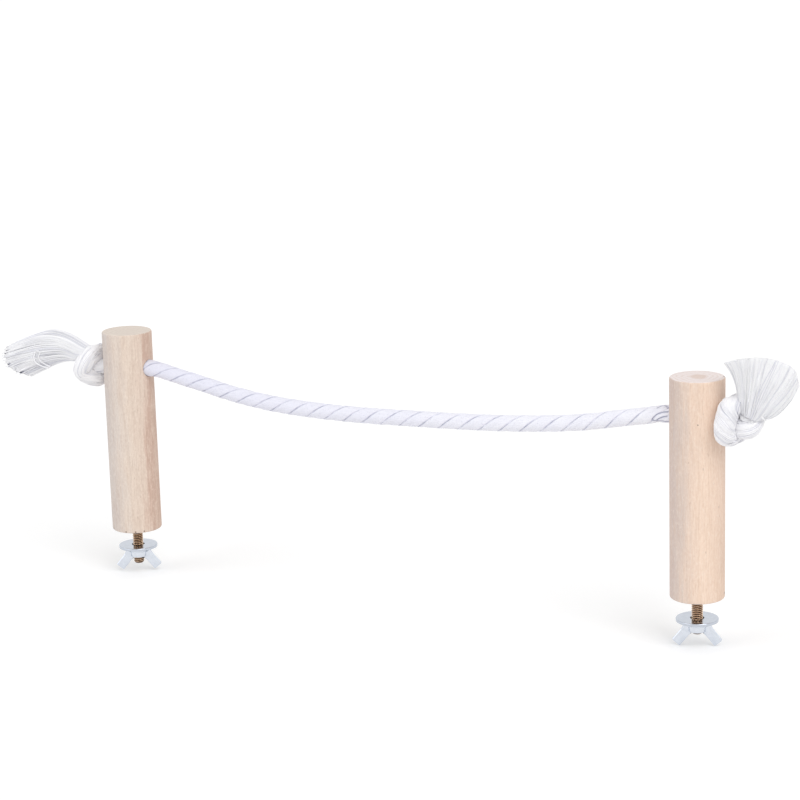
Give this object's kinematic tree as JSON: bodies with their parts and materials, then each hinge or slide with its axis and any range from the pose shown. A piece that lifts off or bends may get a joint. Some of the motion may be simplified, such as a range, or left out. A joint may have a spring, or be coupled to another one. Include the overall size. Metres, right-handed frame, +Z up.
{
  "type": "parrot play stand",
  "caption": "Clamp-on parrot perch: a sagging knotted cotton rope strung between wooden posts, each with a screw, washer and wing nut under its foot to grip cage bars.",
  "frame": {"origin": "on the left post's axis, in the plane of its foot, where the clamp holds it to the cage", "axes": "+Z up along the posts, +X from the left post to the right post, -Y towards the front"},
  "size_m": [0.4783, 0.0379, 0.1552],
  "materials": {
    "left_wood": "bare, fine sanded, pale with a faint straight grain",
    "right_wood": "bare, fine sanded, slightly peachy",
    "cotton": "white laid cotton, soft and matt",
    "screw": "yellow zinc on steel thread",
    "bright_zinc": "bright zinc plate"
  },
  "bodies": {
    "left_post": {"left_post": "left_wood", "left_hanger_bolt": "screw"},
    "left_washer": {"left_washer": "bright_zinc"},
    "left_wing_nut": {"left_wing_nut": "bright_zinc"},
    "rope": {"rope": "cotton", "left_knot": "cotton", "right_knot": "cotton", "left_tassel": "cotton", "right_tassel": "cotton"},
    "right_post": {"right_post": "right_wood", "right_hanger_bolt": "screw"},
    "right_washer": {"right_washer": "bright_zinc"},
    "right_wing_nut": {"right_wing_nut": "bright_zinc"}
  },
  "joints": [
    {"name": "left_washer_slide", "type": "slide", "parent": "left_post", "child": "left_washer", "axis": [0, 0, 1], "range_m": [-0.0072, 0.0097]},
    {"name": "left_nut_turn", "type": "hinge", "parent": "left_washer", "child": "left_wing_nut", "pos_m": [0, 0, -0.0118], "axis": [0, 0, 1], "range_deg": [-2590, 3490]},
    {"name": "rope_swivel", "type": "hinge", "parent": "left_post", "child": "rope", "pos_m": [0, 0, 0.0945], "axis": [1, 0, 0], "continuous": true},
    {"name": "right_post_swivel", "type": "hinge", "parent": "rope", "child": "right_post", "pos_m": [0.34, 0, 0.0945], "axis": [1, 0, 0], "continuous": true},
    {"name": "right_washer_slide", "type": "slide", "parent": "right_post", "child": "right_washer", "axis": [0, 0, 1], "range_m": [-0.0046, 0.0109]},
    {"name": "right_nut_turn", "type": "hinge", "parent": "right_washer", "child": "right_wing_nut", "pos_m": [0.34, 0, -0.013], "axis": [0, 0, 1], "range_deg": [-1650, 3920]}
  ],
  "couplings": [
    {"joint": "left_washer_slide", "follows": "left_nut_turn", "m_per_rad": 0.00015915},
    {"joint": "right_washer_slide", "follows": "right_nut_turn", "m_per_rad": 0.00015915}
  ]
}
